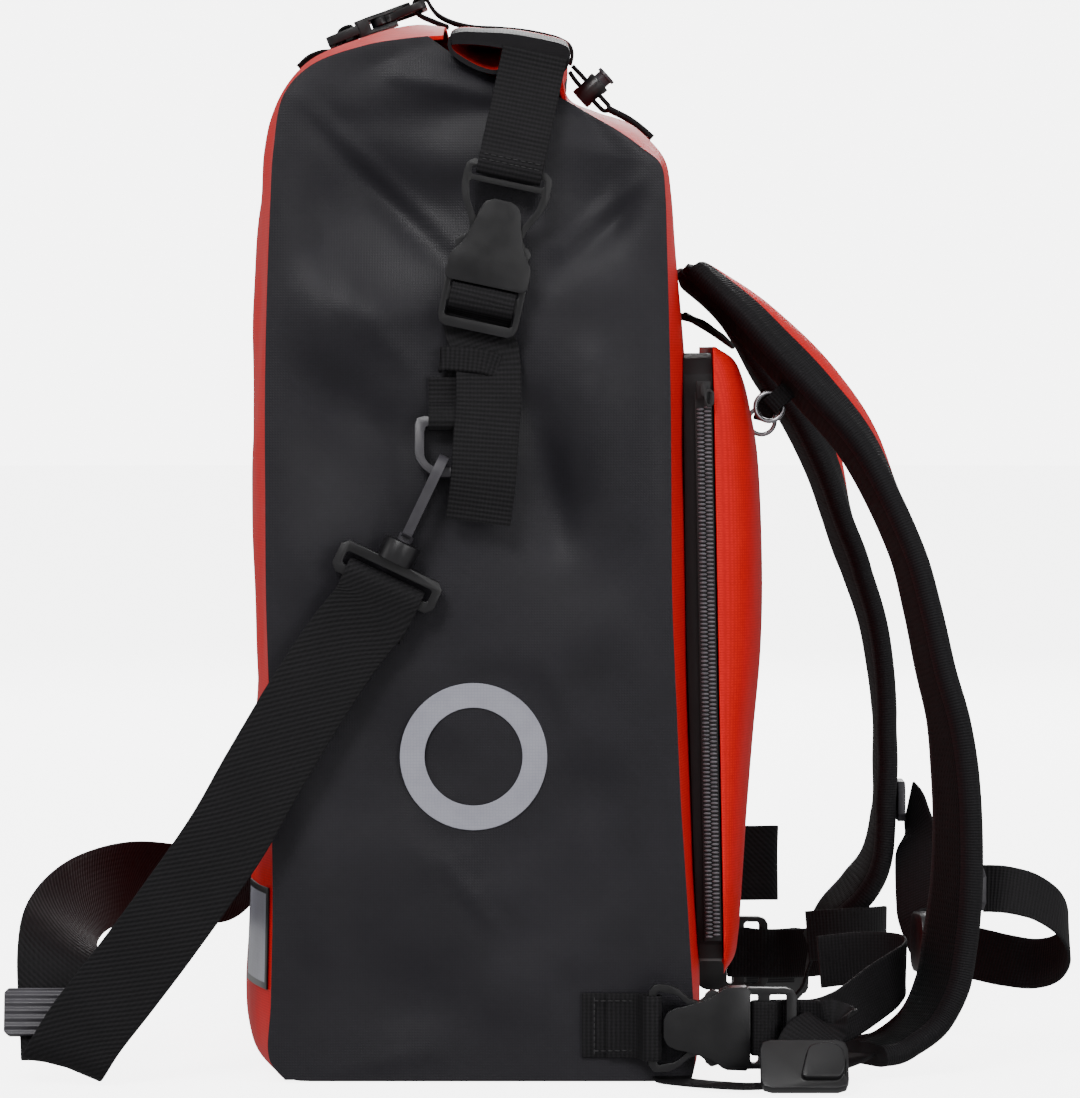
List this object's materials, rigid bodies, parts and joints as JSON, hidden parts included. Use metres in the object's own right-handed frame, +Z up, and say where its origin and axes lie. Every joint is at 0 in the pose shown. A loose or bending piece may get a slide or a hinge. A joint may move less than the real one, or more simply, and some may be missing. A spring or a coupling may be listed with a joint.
{
  "type": "bicycle messenger backpack",
  "caption": "Large roll-top cycling backpack of coated cloth with side webbing and buckles, snap hooks, padded shoulder straps and a wide cross strap.",
  "frame": {"origin": "centre line of the bag on the underside of its base panel, which rests on the surface", "axes": "+X from the outer face towards the wearer's back, +Y to the wearer's left side (away from the viewer), +Z up"},
  "size_m": [0.4958, 0.4008, 0.5069],
  "materials": {
    "tarpaulin_black": "smooth coated cloth, low sheen",
    "tarpaulin_red": "smooth coated cloth, low sheen",
    "webbing_black": "ribbed woven nylon webbing",
    "mesh_black": "padded mesh and bound cloth",
    "acetal": "moulded, satin",
    "acetal_grey": "moulded, satin",
    "reflective": "retroreflective film",
    "steel": "bent wire, satin"
  },
  "bodies": {
    "bag": {"adjuster_webbing_far": "webbing_black", "adjuster_webbing_near": "webbing_black", "back_panel": "tarpaulin_red", "base_panel": "tarpaulin_black", "carry_handle": "webbing_black", "closure_female_far": "acetal", "closure_female_near": "acetal", "closure_male_far": "acetal", "closure_male_near": "acetal", "closure_webbing_far": "webbing_black", "closure_webbing_near": "webbing_black", "cord_lock": "acetal", "cover_gusset": "tarpaulin_red", "cover_zip": "acetal", "floor_lock_far": "acetal", "floor_lock_near": "acetal", "front_panel": "tarpaulin_red", "front_patch": "reflective", "harness_cover": "tarpaulin_red", "harness_webbing_far": "webbing_black", "harness_webbing_near": "webbing_black", "hook_swivel_far": "acetal", "hook_swivel_near": "acetal", "lower_female_far": "acetal", "lower_female_near": "acetal", "lower_male_far": "acetal", "lower_male_near": "acetal", "lower_tab_far": "webbing_black", "lower_tab_near": "webbing_black", "lower_webbing_far": "webbing_black", "lower_webbing_near": "webbing_black", "messenger_strap": "webbing_black", "reflective_ring_far": "reflective", "reflective_ring_near": "reflective", "roll_top": "tarpaulin_black", "shoulder_strap_far": "mesh_black", "shoulder_strap_near": "mesh_black", "side_panel_far": "tarpaulin_black", "side_panel_near": "tarpaulin_black", "side_ring_far": "acetal_grey", "side_ring_near": "acetal_grey", "snap_hook_far": "acetal_grey", "snap_hook_near": "acetal_grey", "sternum_buckle": "acetal", "sternum_slider_far": "acetal_grey", "sternum_slider_near": "acetal_grey", "sternum_webbing_far": "webbing_black", "sternum_webbing_near": "webbing_black", "strap_slider": "acetal_grey", "top_belt": "webbing_black", "top_cord": "webbing_black", "top_female": "acetal", "top_male": "acetal", "top_webbing": "webbing_black", "waist_webbing": "webbing_black", "yoke_ring_far": "steel", "yoke_ring_near": "steel"},
    "gate_near": {"hook_gate_near": "acetal_grey"},
    "gate_far": {"hook_gate_far": "acetal_grey"},
    "button": {"lock_button": "acetal_grey"}
  },
  "joints": [
    {"name": "gate_near_turn", "type": "hinge", "parent": "bag", "child": "gate_near", "pos_m": [-0.033, -0.1559, 0.2571], "axis": [0.9026, 0, -0.4305], "range_deg": [0, 20]},
    {"name": "gate_far_turn", "type": "hinge", "parent": "bag", "child": "gate_far", "pos_m": [-0.033, 0.1559, 0.2571], "axis": [-0.9026, 0, 0.4305], "range_deg": [0, 20]},
    {"name": "button_press", "type": "slide", "parent": "bag", "child": "button", "axis": [-0.7431, 0, -0.6691], "range_m": [0, 0.002]}
  ]
}
